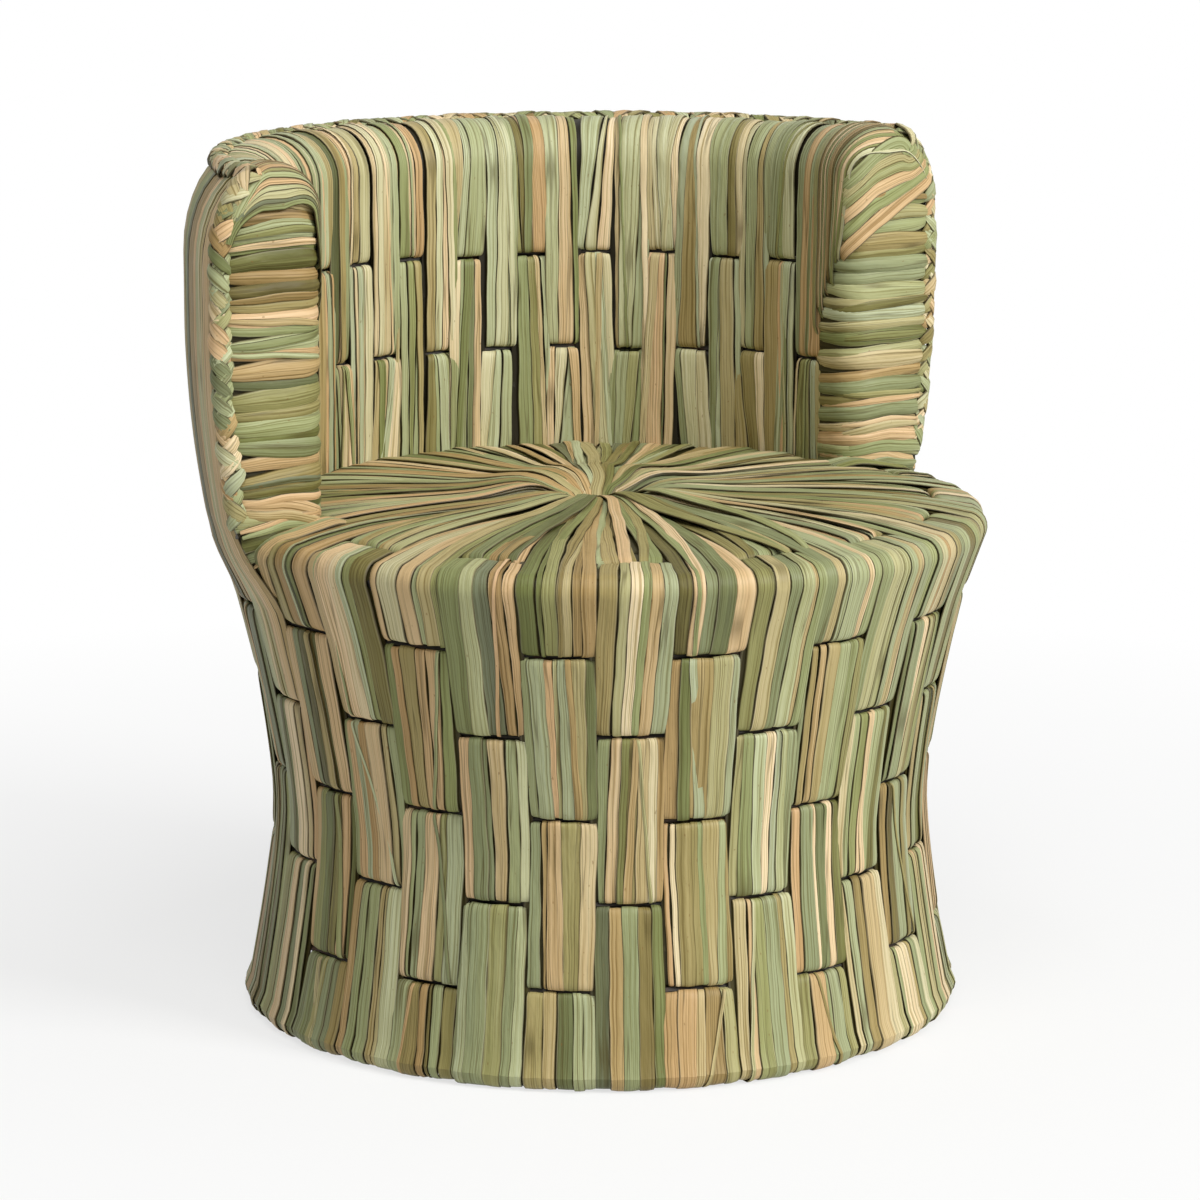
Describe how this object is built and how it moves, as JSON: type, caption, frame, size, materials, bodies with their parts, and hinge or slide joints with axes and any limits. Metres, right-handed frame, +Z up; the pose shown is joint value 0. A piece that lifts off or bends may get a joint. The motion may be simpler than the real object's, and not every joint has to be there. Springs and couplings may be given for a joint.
{
  "type": "woven barrel chair",
  "caption": "Low barrel chair woven from flat leaf bundles: waisted drum base with offset blocks, radial seat, half-round rolled back with wound arm ends and a braided edge.",
  "frame": {"origin": "on the floor, under the middle of the chair's bounding box", "axes": "+Z up, the chair faces -Y and its back is at +Y, +X is the arm on the right hand of someone who looks along +Y at the chair"},
  "size_m": [0.7248, 0.6759, 0.731],
  "materials": {
    "steel": "dark oiled rod",
    "leaf_green": "satin dry leaf",
    "leaf_straw": "satin dry leaf",
    "leaf_olive": "satin dry leaf",
    "leaf_tan": "satin dry leaf",
    "leaf_sage": "satin dry leaf",
    "leaf_khaki": "satin dry leaf",
    "braid": "twisted dry leaf"
  },
  "bodies": {
    "root": {"floor_ring": "steel", "seat_ring": "steel", "seat_hoop": "steel", "drum_hoop_1": "steel", "drum_hoop_2": "steel", "drum_hoop_3": "steel", "drum_hoop_4": "steel", "drum_hoop_5": "steel", "seat_spider": "steel", "front_rib_1": "steel", "rear_rib_1": "steel", "front_rib_2": "steel", "rear_rib_2": "steel", "front_rib_3": "steel", "rear_rib_3": "steel", "front_rib_4": "steel", "rear_rib_4": "steel", "back_top_rail": "steel", "back_row_wire_1": "steel", "back_row_wire_2": "steel", "back_row_wire_3": "steel", "arm_frame_right": "steel", "arm_frame_left": "steel", "seat_bundle_01": "leaf_green", "seat_bundle_02": "leaf_straw", "seat_bundle_03": "leaf_olive", "seat_bundle_04": "leaf_tan", "seat_bundle_05": "leaf_sage", "seat_bundle_06": "leaf_khaki", "seat_bundle_07": "leaf_green", "seat_bundle_08": "leaf_straw", "seat_bundle_09": "leaf_olive", "seat_bundle_10": "leaf_tan", "seat_bundle_11": "leaf_sage", "seat_bundle_12": "leaf_khaki", "seat_bundle_13": "leaf_green", "seat_bundle_14": "leaf_straw", "seat_bundle_15": "leaf_olive", "seat_bundle_16": "leaf_tan", "back_bundle_01": "leaf_olive", "back_bundle_02": "leaf_tan", "back_bundle_03": "leaf_sage", "back_bundle_04": "leaf_khaki", "back_bundle_05": "leaf_green", "back_bundle_06": "leaf_straw", "back_bundle_07": "leaf_olive", "back_bundle_08": "leaf_tan", "back_bundle_09": "leaf_sage", "back_bundle_10": "leaf_khaki", "back_bundle_11": "leaf_green", "back_bundle_12": "leaf_straw", "back_bundle_13": "leaf_olive", "back_bundle_14": "leaf_tan", "back_bundle_15": "leaf_sage", "back_bundle_16": "leaf_khaki", "inner_back_weave": "leaf_sage", "arm_winding_right": "leaf_tan", "arm_winding_left": "leaf_tan", "edge_braid": "braid"}
  },
  "joints": []
}
